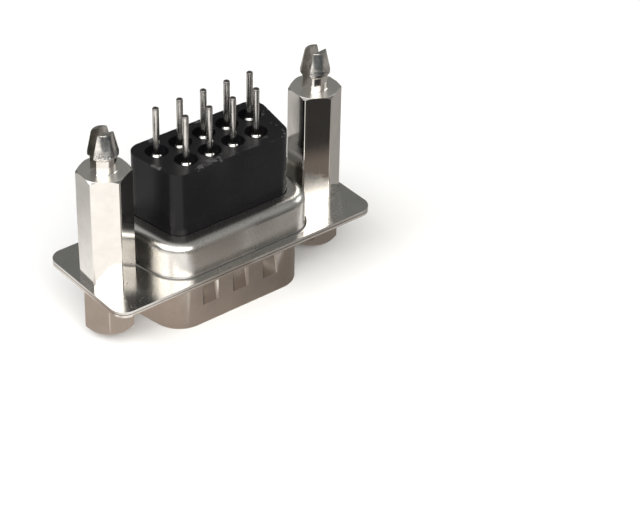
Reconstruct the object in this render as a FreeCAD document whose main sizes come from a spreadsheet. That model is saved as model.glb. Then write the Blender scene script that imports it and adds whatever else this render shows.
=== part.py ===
import FreeCAD, Part
import math
import os

import Sketcher

# D-sub connector, nine-way, male, for straight board mount. Millimetres.
# It stands on the rim of its D-shaped skirt: the rim lies in the plane Z = 0 and the tails point up.
# X runs along the flange, and the row of five contacts lies at +Y.

os.makedirs("parts", exist_ok=True)
doc = FreeCAD.newDocument("dsub_connector")

# Driving dimensions
SIZES = [
    ("flange_lip", 0.56, "hexagon's flat to the short edge of the flanges"),
    ("flange_rim", 0.89, "boss to the long edges of the flanges"),
    ("flange_corner", 1.5, "corner radius of both flanges"),
    ("front_sheet", 0.32, "sheet of the front shell"),
    ("rear_sheet", 0.32, "sheet of the rear shell"),
    ("screw_play", 0.15, "clearance round the stud in both flanges"),
    ("nut_clear", 0.505, "hexagon's flat to the side of the boss"),
    ("side_slope", 10.0, "slope of the short sides of every D, degrees"),
    ("plug_inset", 1.18, "outside of the boss to the inside of the skirt, all round"),
    ("plug_corner", 2.6, "inside corner radius of the skirt"),
    ("skirt_depth", 6.0, "flange's front face to the rim"),
    ("skirt_bend", 0.8, "outer bend between skirt and flange"),
    ("rim_round", 0.1, "rounding of the skirt's rim"),
    ("dimple_margin", 4.8, "outermost dimple to the widest stretch of the skirt"),
    ("dimple_width", 1.9, "one dimple, along the side"),
    ("dimple_clear", 0.03, "outer bend and front moulding to the dimple's deep end"),
    ("dimple_end", 3.8, "flange's front face to the dimple's shallow end"),
    ("dimple_depth", 0.5, "at the deep end"),
    ("ledge_width", 1.89, "ledge of the boss beside the block, along X"),
    ("ledge_depth", 1.76, "ledge of the boss beside the block, along Y"),
    ("boss_corner", 3.0, "outer corner radius of the boss"),
    ("boss_rise", 3.75, "flange's rear face to the top of the boss"),
    ("boss_edge", 0.7, "outer radius round the top of the boss"),
    ("boss_foot", 0.3, "radius between boss and flange"),
    ("block_end", 1.06, "outermost wells to the ends of the block"),
    ("block_side", 1.03, "wells to the long sides of the block"),
    ("block_corner", 1.5, "corner radius of the block"),
    ("block_rise", 10.6, "flange's rear face to the top of the block"),
    ("block_edge", 0.12, "rounding of the block's top edge"),
    ("mould_gap", 0.06, "between a moulding and the sheet round it"),
    ("nose_gap", 0.12, "between the front moulding's nose and the skirt"),
    ("base_split", 1.6, "joint between the mouldings, from the shells' joint"),
    ("face_step", 0.55, "front moulding's face in front of the flange's front face"),
    ("face_edge", 0.3, "rounding of the front moulding's face"),
    ("pin_pitch", 2.77, "between the contacts of one row"),
    ("row_spacing", 2.84, "between the two rows"),
    ("pin_bore", 0.02, "clearance round a contact in the mouldings"),
    ("pin_recess", 1.5, "diameter of the recess round each pin at the face"),
    ("pin_recess_depth", 0.25, "depth of that recess"),
    ("pin_size", 1.02, "diameter of a mating pin"),
    ("pin_nose", 0.66, "diameter at the end of the pin's taper"),
    ("pin_taper", 1.1, "length of the pin's taper"),
    ("pin_tip", 0.29, "rounding of the pin's end"),
    ("pin_inset", 0.65, "rim to the tip of a pin"),
    ("collar_size", 1.7, "diameter of the contact's collar"),
    ("collar_length", 0.6, "length of the collar"),
    ("barrel_size", 1.1, "diameter of the contact behind its collar"),
    ("well_size", 2.3, "diameter of the wells in the block"),
    ("well_depth", 0.75, "depth of the wells"),
    ("shoulder_rise", 0.35, "contact's shoulder above the floor of its well"),
    ("shoulder_height", 0.2, "length of the cone from barrel to tail"),
    ("tail_size", 0.64, "diameter of a solder tail"),
    ("tail_tip", 0.12, "rounding of the tail's end"),
    ("tail_reach", 3.4, "board seat to the end of a tail"),
    ("nut_flats", 4.7, "jack nut and standoff, across the flats"),
    ("nut_corner", 0.3, "rounding of the hexagons' upright corners"),
    ("nut_length", 4.85, "jack nut in front of the flange"),
    ("chamfer_start", 0.05, "hexagon's flat to the start of its turned chamfer"),
    ("nut_chamfer", 0.24, "length of the turned chamfer at a hexagon's end"),
    ("thread_bore", 2.35, "diameter of the tapped holes before the thread"),
    ("nut_bore", 4.1, "depth of the jack nut's hole to the drill's cone"),
    ("drill_slope", 31.0, "slope of the cone that a drill leaves, degrees"),
    ("nut_mouth", 3.2, "diameter of the countersunk mouths"),
    ("stud_size", 2.75, "diameter of the jack nut's stud"),
    ("stud_length", 5.2, "flange's front face to the end of the stud"),
    ("stud_round", 0.2, "rounding of the stud's end"),
    ("stud_play", 0.04, "clearance round the stud in the standoff"),
    ("stud_room", 0.8, "beyond the end of the stud in the standoff"),
    ("standoff_length", 12.0, "flange's rear face to the board seat"),
    ("left_nut_turn", -3.0, "turn of the left jack nut from flats along X, degrees"),
    ("right_nut_turn", 0.0, "turn of the right jack nut, degrees"),
    ("left_turn", 28.0, "turn of the left standoff's hexagon, degrees"),
    ("right_turn", 29.5, "turn of the right standoff's hexagon, degrees"),
    ("left_slot_turn", -4.0, "turn of the left board lock's slot, degrees"),
    ("right_slot_turn", 7.0, "turn of the right board lock's slot, degrees"),
    ("lock_neck", 2.5, "diameter of the board lock at the board"),
    ("lock_neck_length", 1.5, "board seat to the lock's shoulder"),
    ("lock_shoulder", 0.25, "height of the sloping shoulder"),
    ("lock_barb", 2.95, "diameter of the lock over its barbs"),
    ("lock_land", 0.3, "height of the straight band above the shoulder"),
    ("lock_tip", 2.1, "diameter of the lock's end"),
    ("lock_reach", 4.2, "board seat to the end of the lock"),
    ("lock_round", 0.15, "rounding of the lock's end"),
    ("lock_slot", 1.2, "width of the slot between the two prongs"),
]

# Sizes that follow from those above: the contacts set the block, and each sheet fits round what it holds
FOLLOWING = [
    ("block_width", "4 * pin_pitch + well_size + 2 * block_end", "rear moulding's block, at its widest"),
    ("block_depth", "row_spacing + well_size + 2 * block_side", "rear moulding's block, across"),
    ("boss_width", "block_width + 2 * ledge_width", "drawn boss of the rear shell, at its widest"),
    ("boss_depth", "block_depth + 2 * ledge_depth", "drawn boss, across"),
    ("plug_width", "boss_width - 2 * plug_inset", "inside the skirt, at its widest"),
    ("plug_height", "boss_depth - 2 * plug_inset", "inside the skirt, across"),
    ("screw_spacing", "boss_width + nut_flats + 2 * nut_clear", "between the two screw axes"),
    ("screw_hole", "stud_size + 2 * screw_play", "diameter of the holes in both flanges"),
    ("flange_length", "screw_spacing + nut_flats + 2 * flange_lip", "both shells, along X"),
    ("flange_width", "boss_depth + 2 * flange_rim", "both shells, along Y"),
    ("nut_face", "nut_flats + 2 * chamfer_start", "diameter at which a hexagon's turned chamfer starts"),
    ("dimple_pitch", "plug_width / 2 - dimple_margin", "between the dimples of one side"),
    ("dimple_start", "max(skirt_bend; face_step + front_sheet) + dimple_clear",
     "flange's front face to the dimple's deep end"),
]

PIN_COLUMNS = 5
# Turned cuts on a hexagon reach out this many times as far as its corners
PAST_CORNERS = 1.1
# Edges closer than this to a level or a face are taken to lie on it
TOUCH = 1e-5

sheet = doc.addObject("Spreadsheet::Sheet", "sizes")
for row, (alias, amount, note) in enumerate(SIZES, start=1):
    sheet.set(f"A{row}", alias)
    sheet.set(f"B{row}", str(amount))
    sheet.setAlias(f"B{row}", alias)
    sheet.set(f"C{row}", note)
for row, (alias, formula, note) in enumerate(FOLLOWING, start=len(SIZES) + 1):
    sheet.set(f"A{row}", alias)
    sheet.set(f"B{row}", "=" + formula)
    sheet.setAlias(f"B{row}", alias)
    sheet.set(f"C{row}", note)
doc.recompute()


def size(alias):
    return f"sizes.{alias}"


# Levels along Z, from the rim up
FRONT_FACE = size("skirt_depth")
JOINT = f"({FRONT_FACE} + sizes.front_sheet)"
REAR_FACE = f"({JOINT} + sizes.rear_sheet)"
BOSS_TOP = f"({REAR_FACE} + sizes.boss_rise)"
BLOCK_TOP = f"({REAR_FACE} + sizes.block_rise)"
BOARD_SEAT = f"({REAR_FACE} + sizes.standoff_length)"
MOULD_FACE = f"({FRONT_FACE} - sizes.face_step)"
SPLIT = f"({JOINT} + sizes.base_split)"
CEILING = f"({BOSS_TOP} - sizes.rear_sheet - sizes.mould_gap)"
COLLAR_END = f"({SPLIT} + sizes.collar_length)"
WELL_FLOOR = f"({BLOCK_TOP} - sizes.well_depth)"

# Lean of the short sides of a D, and of a plain rectangle
SLOPE = "(sizes.side_slope * 1 deg)"
NO_SLOPE = "(0 deg)"


def minus(expression):
    return f"(-({expression}))"


def make_body(name):
    body = doc.addObject("PartDesign::Body", name)
    body.Label = name
    return body


def value_of(body, expression):
    result = body.evalExpression(expression)
    return float(getattr(result, "Value", result))


def origin_item(body, role):
    return [item for item in body.Origin.OriginFeatures if item.Role == role][0]


def make_sketch(body, name, role, level="0", turn="0"):
    """An empty sketch on one of the body's own planes, shifted along that plane's normal and turned on it."""
    plane = origin_item(body, role)
    sketch = body.newObject("Sketcher::SketchObject", name)
    sketch.AttachmentSupport = [(plane, "")]
    sketch.MapMode = "FlatFace"
    sketch.setExpression(".AttachmentOffset.Base.z", level)
    sketch.setExpression(".AttachmentOffset.Rotation.Angle", turn)
    return sketch


def bind(sketch, constraint, name, expression):
    index = sketch.addConstraint(constraint)
    sketch.renameConstraint(index, name)
    sketch.setExpression(f"Constraints.{name}", expression)


def outline(sketch, body, corners):
    """A closed outline of straight lines, with every corner placed by two bound distances."""
    spots = [(value_of(body, along), value_of(body, across)) for along, across in corners]
    first = sketch.GeometryCount
    count = len(corners)
    for step, spot in enumerate(spots):
        after = spots[(step + 1) % count]
        start = FreeCAD.Vector(spot[0], spot[1], 0)
        end = FreeCAD.Vector(after[0], after[1], 0)
        sketch.addGeometry(Part.LineSegment(start, end), False)
    for step in range(count):
        line = first + step
        following = first + (step + 1) % count
        sketch.addConstraint(Sketcher.Constraint("Coincident", line, 2, following, 1))
        along, across = spots[step]
        name = f"corner{line}"
        bind(sketch, Sketcher.Constraint("DistanceX", line, 1, along), name + "x", corners[step][0])
        bind(sketch, Sketcher.Constraint("DistanceY", line, 1, across), name + "y", corners[step][1])


def rounded_outline(sketch, body, width, height, corner, slope=SLOPE):
    """A D or a rectangle with rounded corners: four arcs, with tangent lines between them.

    The width is the widest stretch of the rounded outline, at the arcs of the +Y corners.
    """
    wide = f"(({width}) / 2 - ({corner}))"
    high = f"(({height}) / 2 - ({corner}))"
    narrow = f"({wide} - 2 * {high} * tan({slope}))"
    centres = [(wide, high), (minus(wide), high), (minus(narrow), minus(high)), (narrow, minus(high))]
    lean = math.radians(value_of(body, slope))
    quarter = math.pi / 2
    turns = [
        (-lean, quarter),
        (quarter, 2 * quarter + lean),
        (2 * quarter + lean, 3 * quarter),
        (3 * quarter, 4 * quarter - lean),
    ]
    radius = value_of(body, corner)
    arcs = []
    for (along, across), (start, end) in zip(centres, turns):
        centre = FreeCAD.Vector(value_of(body, along), value_of(body, across), 0)
        round_corner = Part.Circle(centre, FreeCAD.Vector(0, 0, 1), radius)
        arcs.append(Part.ArcOfCircle(round_corner, start, end))
    first = sketch.GeometryCount
    count = len(arcs)
    for arc in arcs:
        sketch.addGeometry(arc, False)
    for step, arc in enumerate(arcs):
        following = arcs[(step + 1) % count]
        sketch.addGeometry(Part.LineSegment(arc.EndPoint, following.StartPoint), False)
    for step, (along, across) in enumerate(centres):
        arc = first + step
        line = first + count + step
        following = first + (step + 1) % count
        sketch.addConstraint(Sketcher.Constraint("Tangent", arc, 2, line, 1))
        sketch.addConstraint(Sketcher.Constraint("Tangent", line, 2, following, 1))
        name = f"corner{arc}"
        bind(sketch, Sketcher.Constraint("Radius", arc, radius), name + "r", corner)
        bind(sketch, Sketcher.Constraint("DistanceX", arc, 3, arcs[step].Center.x), name + "x", along)
        bind(sketch, Sketcher.Constraint("DistanceY", arc, 3, arcs[step].Center.y), name + "y", across)


def circle(sketch, body, diameter, along="0", across="0"):
    spot = FreeCAD.Vector(value_of(body, along), value_of(body, across), 0)
    radius = value_of(body, diameter) / 2
    index = sketch.addGeometry(Part.Circle(spot, FreeCAD.Vector(0, 0, 1), radius), False)
    name = f"circle{index}"
    bind(sketch, Sketcher.Constraint("Diameter", index, 2 * radius), name + "d", diameter)
    bind(sketch, Sketcher.Constraint("DistanceX", index, 3, spot.x), name + "x", along)
    bind(sketch, Sketcher.Constraint("DistanceY", index, 3, spot.y), name + "y", across)


def pad(body, sketch, length, down=False, middle=False):
    feature = body.newObject("PartDesign::Pad", sketch.Name + "_pad")
    feature.Profile = sketch
    feature.setExpression("Length", length)
    feature.Reversed = down
    feature.Midplane = middle
    sketch.Visibility = False
    doc.recompute()
    return feature


def pocket(body, sketch, length, up=False, middle=False):
    """A cut from the sketch's plane, against its normal unless up is set. It must take something away."""
    before = body.Shape.Volume
    feature = body.newObject("PartDesign::Pocket", sketch.Name + "_pocket")
    feature.Profile = sketch
    feature.setExpression("Length", length)
    feature.Reversed = up
    feature.Midplane = middle
    sketch.Visibility = False
    doc.recompute()
    if not body.Shape.Volume < before:
        raise RuntimeError(sketch.Name + " cuts nothing")
    return feature


def revolve(body, sketch):
    feature = body.newObject("PartDesign::Revolution", sketch.Name + "_turned")
    feature.Profile = sketch
    feature.ReferenceAxis = (sketch, ["V_Axis"])
    feature.Angle = 360
    sketch.Visibility = False
    doc.recompute()
    return feature


def groove(body, sketch):
    """A turned cut. It must take something away."""
    before = body.Shape.Volume
    feature = body.newObject("PartDesign::Groove", sketch.Name + "_groove")
    feature.Profile = sketch
    feature.ReferenceAxis = (sketch, ["V_Axis"])
    feature.Angle = 360
    sketch.Visibility = False
    doc.recompute()
    if not body.Shape.Volume < before:
        raise RuntimeError(sketch.Name + " cuts nothing")
    return feature


def fillet(body, name, wanted, radius):
    """Rounds each edge of the body so far that the given test picks."""
    base = body.Tip
    names = [f"Edge{place}" for place, edge in enumerate(base.Shape.Edges, start=1) if wanted(edge)]
    feature = body.newObject("PartDesign::Fillet", name)
    feature.Base = (base, names)
    feature.setExpression("Radius", radius)
    doc.recompute()
    if "Invalid" in feature.State or "Error" in feature.State:
        raise RuntimeError(name + " failed on " + " ".join(names))
    return feature


def is_level(edge, level):
    box = edge.BoundBox
    return box.ZLength < TOUCH and abs(box.ZMin - level) < TOUCH


def is_upright(edge):
    box = edge.BoundBox
    return box.XLength < TOUCH and box.YLength < TOUCH


def is_within(edge, half_length, half_width):
    """Whether the edge lies inside a rectangle centred on the Z axis."""
    box = edge.BoundBox
    along = max(abs(box.XMin), abs(box.XMax))
    across = max(abs(box.YMin), abs(box.YMax))
    return along < half_length + TOUCH and across < half_width + TOUCH


def hexagon_corners(flats):
    """Two of the corners lie on the X axis, so two of the flats face along Y."""
    tip = f"(({flats}) / sqrt(3))"
    return [
        (tip, "0"),
        (f"({tip} / 2)", f"(({flats}) / 2)"),
        (minus(f"{tip} / 2"), f"(({flats}) / 2)"),
        (minus(tip), "0"),
        (minus(f"{tip} / 2"), minus(f"({flats}) / 2")),
        (f"({tip} / 2)", minus(f"({flats}) / 2")),
    ]


def screw_holes(body, name, level, thickness):
    sketch = make_sketch(body, name, "XY_Plane", level)
    for side in ("sizes.screw_spacing / 2", minus("sizes.screw_spacing / 2")):
        circle(sketch, body, size("screw_hole"), side)
    pocket(body, sketch, thickness)


def make_flange(body, name, level, thickness):
    sketch = make_sketch(body, name, "XY_Plane", level)
    length = size("flange_length")
    width = size("flange_width")
    rounded_outline(sketch, body, length, width, size("flange_corner"), NO_SLOPE)
    pad(body, sketch, thickness)


# Front shell: the flange and the skirt are drawn from one sheet of even thickness
def make_front_shell():
    body = make_body("front_shell")
    make_flange(body, "front_flange", FRONT_FACE, size("front_sheet"))
    front_level = value_of(body, FRONT_FACE)
    joint_level = value_of(body, JOINT)

    outer_width = "(sizes.plug_width + 2 * sizes.front_sheet)"
    outer_height = "(sizes.plug_height + 2 * sizes.front_sheet)"
    outer_corner = "(sizes.plug_corner + sizes.front_sheet)"
    skirt = make_sketch(body, "skirt", "XY_Plane", FRONT_FACE)
    rounded_outline(skirt, body, outer_width, outer_height, outer_corner)
    pad(body, skirt, size("skirt_depth"), down=True)
    half_width = value_of(body, f"{outer_width} / 2")
    half_height = value_of(body, f"{outer_height} / 2")

    def at_outer_bend(edge):
        return is_level(edge, front_level) and is_within(edge, half_width, half_height)

    fillet(body, "outer_bends", at_outer_bend, size("skirt_bend"))

    mouth = make_sketch(body, "mouth", "XY_Plane", JOINT)
    rounded_outline(mouth, body, size("plug_width"), size("plug_height"), size("plug_corner"))
    pocket(body, mouth, JOINT)

    def at_inner_bend(edge):
        return is_level(edge, joint_level) and is_within(edge, half_width, half_height)

    fillet(body, "inner_bends", at_inner_bend, "(sizes.skirt_bend + sizes.front_sheet)")
    fillet(body, "rim_rounding", lambda edge: is_level(edge, 0), size("rim_round"))
    add_dimples(body)
    screw_holes(body, "front_holes", JOINT, size("front_sheet"))


def add_dimples(body):
    """Three dimples on each long side: the metal pushed inward, then the dent that pushed it."""
    inner = minus("sizes.plug_height / 2")
    outer = f"({inner} - sizes.front_sheet)"
    middle = f"({inner} - sizes.front_sheet / 2)"
    beyond = f"({outer} - sizes.front_sheet)"
    start = f"({FRONT_FACE} - sizes.dimple_start)"
    end = f"({FRONT_FACE} - sizes.dimple_end)"

    swell = make_sketch(body, "swell", "YZ_Plane")
    outline(swell, body, [
        (middle, f"({start} + sizes.front_sheet)"),
        (f"({inner} + sizes.dimple_depth)", f"({start} + sizes.front_sheet)"),
        (f"({inner} + sizes.dimple_depth)", start),
        (inner, end),
        (middle, end),
    ])
    added = pad(body, swell, "(sizes.dimple_width + 2 * sizes.front_sheet)", middle=True)

    dent = make_sketch(body, "dent", "YZ_Plane")
    outline(dent, body, [
        (beyond, start),
        (f"({outer} + sizes.dimple_depth)", start),
        (outer, end),
        (beyond, end),
    ])
    taken = pocket(body, dent, size("dimple_width"), middle=True)

    row = body.newObject("PartDesign::MultiTransform", "dimples")
    row.Originals = [added, taken]
    along = body.newObject("PartDesign::LinearPattern", "dimple_row")
    along.Direction = (origin_item(body, "X_Axis"), [""])
    along.Occurrences = 2
    along.setExpression("Length", size("dimple_pitch"))
    across = body.newObject("PartDesign::Mirrored", "dimple_sides")
    across.MirrorPlane = (origin_item(body, "XZ_Plane"), [""])
    ends = body.newObject("PartDesign::Mirrored", "dimple_ends")
    ends.MirrorPlane = (origin_item(body, "YZ_Plane"), [""])
    row.Transformations = [along, ends, across]
    body.Tip = row
    doc.recompute()


# Rear shell: a flange like the front one, with the boss drawn up from the same sheet
def make_rear_shell():
    body = make_body("rear_shell")
    make_flange(body, "rear_flange", JOINT, size("rear_sheet"))
    joint_level = value_of(body, JOINT)
    rear_level = value_of(body, REAR_FACE)
    top_level = value_of(body, BOSS_TOP)
    ceiling_level = value_of(body, f"{BOSS_TOP} - sizes.rear_sheet")
    half_width = value_of(body, "sizes.boss_width / 2")
    half_depth = value_of(body, "sizes.boss_depth / 2")

    boss = make_sketch(body, "boss", "XY_Plane", REAR_FACE)
    rounded_outline(boss, body, size("boss_width"), size("boss_depth"), size("boss_corner"))
    pad(body, boss, size("boss_rise"))

    def at_level(level):
        return lambda edge: is_level(edge, level) and is_within(edge, half_width, half_depth)

    fillet(body, "boss_top_edge", at_level(top_level), size("boss_edge"))
    fillet(body, "boss_foot_edge", at_level(rear_level), size("boss_foot"))

    hollow = make_sketch(body, "hollow", "XY_Plane", JOINT)
    rounded_outline(hollow, body, "(sizes.boss_width - 2 * sizes.rear_sheet)",
                    "(sizes.boss_depth - 2 * sizes.rear_sheet)", "(sizes.boss_corner - sizes.rear_sheet)")
    pocket(body, hollow, size("boss_rise"), up=True)
    fillet(body, "hollow_top_edge", at_level(ceiling_level), "(sizes.boss_edge - sizes.rear_sheet)")
    fillet(body, "hollow_foot_edge", at_level(joint_level), "(sizes.boss_foot + sizes.rear_sheet)")

    window = make_sketch(body, "window", "XY_Plane", BOSS_TOP)
    rounded_outline(window, body, "(sizes.block_width + 2 * sizes.mould_gap)",
                    "(sizes.block_depth + 2 * sizes.mould_gap)", "(sizes.block_corner + sizes.mould_gap)")
    pocket(body, window, "(2 * sizes.rear_sheet)")
    screw_holes(body, "rear_holes", REAR_FACE, size("rear_sheet"))


# The contacts stand in two rows: numbers 1 to 5 at +Y and 6 to 9 at -Y, both from +X to -X
def contact_places():
    places = []
    for step in range(PIN_COLUMNS):
        shift = (PIN_COLUMNS - 1) / 2 - step
        places.append((f"({shift} * sizes.pin_pitch)", "(sizes.row_spacing / 2)"))
    for step in range(PIN_COLUMNS - 1):
        shift = (PIN_COLUMNS - 2) / 2 - step
        places.append((f"({shift} * sizes.pin_pitch)", "(-sizes.row_spacing / 2)"))
    return places


def bores(body, name, level, diameter, depth, up=False):
    """One round pocket at the place of each contact."""
    sketch = make_sketch(body, name, "XY_Plane", level)
    for along, across in contact_places():
        circle(sketch, body, diameter, along, across)
    pocket(body, sketch, depth, up)


# Front moulding: its nose fills the root of the skirt, and its base plate lies inside the boss
def make_front_insulator():
    body = make_body("front_insulator")
    plate_width = "(sizes.boss_width - 2 * sizes.rear_sheet - 2 * sizes.mould_gap)"
    plate_depth = "(sizes.boss_depth - 2 * sizes.rear_sheet - 2 * sizes.mould_gap)"
    plate_corner = "(sizes.boss_corner - sizes.rear_sheet - sizes.mould_gap)"
    plate_bottom = f"({JOINT} + sizes.mould_gap)"
    plate_level = value_of(body, plate_bottom)
    face_level = value_of(body, MOULD_FACE)

    plate = make_sketch(body, "front_plate", "XY_Plane", plate_bottom)
    rounded_outline(plate, body, plate_width, plate_depth, plate_corner)
    pad(body, plate, "(sizes.base_split - sizes.mould_gap)")
    foot_room = "(sizes.boss_foot + sizes.rear_sheet)"
    fillet(body, "plate_foot_edge", lambda edge: is_level(edge, plate_level), foot_room)

    nose = make_sketch(body, "nose", "XY_Plane", plate_bottom)
    rounded_outline(nose, body, "(sizes.plug_width - 2 * sizes.nose_gap)",
                    "(sizes.plug_height - 2 * sizes.nose_gap)", "(sizes.plug_corner - sizes.nose_gap)")
    pad(body, nose, f"({plate_bottom} - {MOULD_FACE})", down=True)
    fillet(body, "nose_edge", lambda edge: is_level(edge, face_level), size("face_edge"))
    bores(body, "front_bores", SPLIT, "(sizes.pin_size + 2 * sizes.pin_bore)", f"({SPLIT} - {MOULD_FACE})")
    bores(body, "face_recesses", MOULD_FACE, size("pin_recess"), size("pin_recess_depth"), up=True)


# Rear moulding: its base plate is held under the ledge of the boss, and its block stands through the window
def make_rear_insulator():
    body = make_body("rear_insulator")
    inset = "(sizes.rear_sheet + sizes.mould_gap + sizes.boss_edge)"
    plate = make_sketch(body, "rear_plate", "XY_Plane", SPLIT)
    rounded_outline(plate, body, f"(sizes.boss_width - 2 * {inset})",
                    f"(sizes.boss_depth - 2 * {inset})", f"(sizes.boss_corner - {inset})")
    pad(body, plate, f"({CEILING} - {SPLIT})")
    block = make_sketch(body, "block", "XY_Plane", CEILING)
    rounded_outline(block, body, size("block_width"), size("block_depth"), size("block_corner"))
    pad(body, block, f"({BLOCK_TOP} - {CEILING})")
    top_level = value_of(body, BLOCK_TOP)
    fillet(body, "block_top_edge", lambda edge: is_level(edge, top_level), size("block_edge"))
    collar_room = "(sizes.collar_size + 2 * sizes.pin_bore)"
    barrel_room = "(sizes.barrel_size + 2 * sizes.pin_bore)"
    bores(body, "collar_bores", SPLIT, collar_room, size("collar_length"), up=True)
    bores(body, "barrel_bores", WELL_FLOOR, barrel_room, f"({WELL_FLOOR} - {COLLAR_END})")
    bores(body, "wells", BLOCK_TOP, size("well_size"), size("well_depth"))


# A contact is turned from one wire: mating pin, collar between the mouldings, barrel and solder tail
def make_contact(name, along, across):
    body = make_body(name)
    pin = "(sizes.pin_size / 2)"
    nose = "(sizes.pin_nose / 2)"
    collar = "(sizes.collar_size / 2)"
    barrel = "(sizes.barrel_size / 2)"
    tail = "(sizes.tail_size / 2)"
    tip_level = size("pin_inset")
    shoulder = f"({WELL_FLOOR} + sizes.shoulder_rise)"
    tail_end = f"({BOARD_SEAT} + sizes.tail_reach)"
    profile = make_sketch(body, name + "_profile", "XZ_Plane")
    outline(profile, body, [
        ("0", tip_level),
        (nose, tip_level),
        (pin, f"({tip_level} + sizes.pin_taper)"),
        (pin, SPLIT),
        (collar, SPLIT),
        (collar, COLLAR_END),
        (barrel, COLLAR_END),
        (barrel, shoulder),
        (tail, f"({shoulder} + sizes.shoulder_height)"),
        (tail, tail_end),
        ("0", tail_end),
    ])
    revolve(body, profile)
    low = value_of(body, tip_level)
    high = value_of(body, tail_end)
    fillet(body, name + "_nose", lambda edge: is_level(edge, low), size("pin_tip"))
    fillet(body, name + "_tip", lambda edge: is_level(edge, high), size("tail_tip"))
    place(body, along, across)


def place(body, along, across="0", turn="0"):
    body.setExpression(".Placement.Base.x", along)
    body.setExpression(".Placement.Base.y", across)
    body.setExpression(".Placement.Rotation.Angle", turn)


def hexagon_bar(body, name, level, length, down=False):
    sketch = make_sketch(body, name, "XY_Plane", level)
    outline(sketch, body, hexagon_corners(size("nut_flats")))
    pad(body, sketch, length, down)
    fillet(body, name + "_corners", is_upright, size("nut_corner"))


def turned_chamfer(body, name, level, inward):
    """A turned cone that takes off the corners at the hexagon's end. Inward points into the bar, +1 or -1."""
    tip = "(sizes.nut_flats / sqrt(3))"
    ring = "(sizes.nut_face / 2)"
    reach = f"({tip} * {PAST_CORNERS})"
    depth = f"(sizes.nut_chamfer * ({reach} - {ring}) / ({tip} - {ring}))"
    chamfer = make_sketch(body, name, "XZ_Plane")
    outline(chamfer, body, [
        (ring, level),
        (reach, level),
        (reach, f"({level} + {inward} * {depth})"),
    ])
    groove(body, chamfer)


# Jack nut: hexagon on the mating side with a blind tapped hole, and a stud that passes through both flanges
def make_jack_nut(name, along, turn):
    body = make_body(name)
    nut_end = f"({FRONT_FACE} - sizes.nut_length)"
    hexagon_bar(body, name + "_bar", FRONT_FACE, size("nut_length"), down=True)
    turned_chamfer(body, name + "_chamfer", nut_end, "1")
    stud = make_sketch(body, name + "_stud", "XY_Plane", FRONT_FACE)
    circle(stud, body, size("stud_size"))
    pad(body, stud, size("stud_length"))
    stud_end = value_of(body, f"{FRONT_FACE} + sizes.stud_length")
    fillet(body, name + "_stud_end", lambda edge: is_level(edge, stud_end), size("stud_round"))
    hole = make_sketch(body, name + "_hole", "XZ_Plane")
    bore = "(sizes.thread_bore / 2)"
    mouth = "(sizes.nut_mouth / 2)"
    bottom = f"({nut_end} + sizes.nut_bore)"
    outline(hole, body, [
        ("0", nut_end),
        (mouth, nut_end),
        (bore, f"({nut_end} + {mouth} - {bore})"),
        (bore, bottom),
        ("0", f"({bottom} + {bore} * tan(sizes.drill_slope * 1 deg))"),
    ])
    groove(body, hole)
    place(body, along, turn=turn)


# Standoff: hexagon on the board side, tapped at the flange, with the split board lock turned on its end
def make_standoff(name, along, turn, slot_turn):
    body = make_body(name)
    lock_end = f"({BOARD_SEAT} + sizes.lock_reach)"
    hexagon_bar(body, name + "_bar", REAR_FACE, size("standoff_length"))
    turned_chamfer(body, name + "_chamfer", BOARD_SEAT, "-1")
    neck = "(sizes.lock_neck / 2)"
    barb = "(sizes.lock_barb / 2)"
    tip = "(sizes.lock_tip / 2)"
    shoulder = f"({BOARD_SEAT} + sizes.lock_neck_length)"
    land = f"({shoulder} + sizes.lock_shoulder)"
    lock = make_sketch(body, name + "_lock", "XZ_Plane")
    outline(lock, body, [
        ("0", BOARD_SEAT),
        (neck, BOARD_SEAT),
        (neck, shoulder),
        (barb, land),
        (barb, f"({land} + sizes.lock_land)"),
        (tip, lock_end),
        ("0", lock_end),
    ])
    revolve(body, lock)
    end_level = value_of(body, lock_end)
    fillet(body, name + "_lock_end", lambda edge: is_level(edge, end_level), size("lock_round"))
    slot = make_sketch(body, name + "_slot", "XY_Plane", lock_end, slot_turn)
    outline(slot, body, box_corners("(2 * sizes.lock_barb)", size("lock_slot")))
    pocket(body, slot, size("lock_reach"))
    hole = make_sketch(body, name + "_hole", "XZ_Plane")
    room = "(sizes.stud_size / 2 + sizes.stud_play)"
    room_end = f"({FRONT_FACE} + sizes.stud_length + sizes.stud_room)"
    outline(hole, body, [
        ("0", REAR_FACE),
        (room, REAR_FACE),
        (room, room_end),
        ("0", f"({room_end} + {room} * tan(sizes.drill_slope * 1 deg))"),
    ])
    groove(body, hole)
    place(body, along, turn=turn)


def box_corners(length, width):
    along = f"(({length}) / 2)"
    across = f"(({width}) / 2)"
    return [
        (along, across),
        (minus(along), across),
        (minus(along), minus(across)),
        (along, minus(across)),
    ]


make_front_shell()
make_rear_shell()
make_front_insulator()
make_rear_insulator()
for number, (along, across) in enumerate(contact_places(), start=1):
    make_contact(f"contact_{number}", along, across)
LEFT = minus("sizes.screw_spacing / 2")
RIGHT = "(sizes.screw_spacing / 2)"
make_jack_nut("jack_nut_left", LEFT, size("left_nut_turn"))
make_jack_nut("jack_nut_right", RIGHT, size("right_nut_turn"))
make_standoff("standoff_left", LEFT, size("left_turn"), "(sizes.left_slot_turn - sizes.left_turn)")
make_standoff("standoff_right", RIGHT, size("right_turn"), "(sizes.right_slot_turn - sizes.right_turn)")
doc.recompute()

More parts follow.
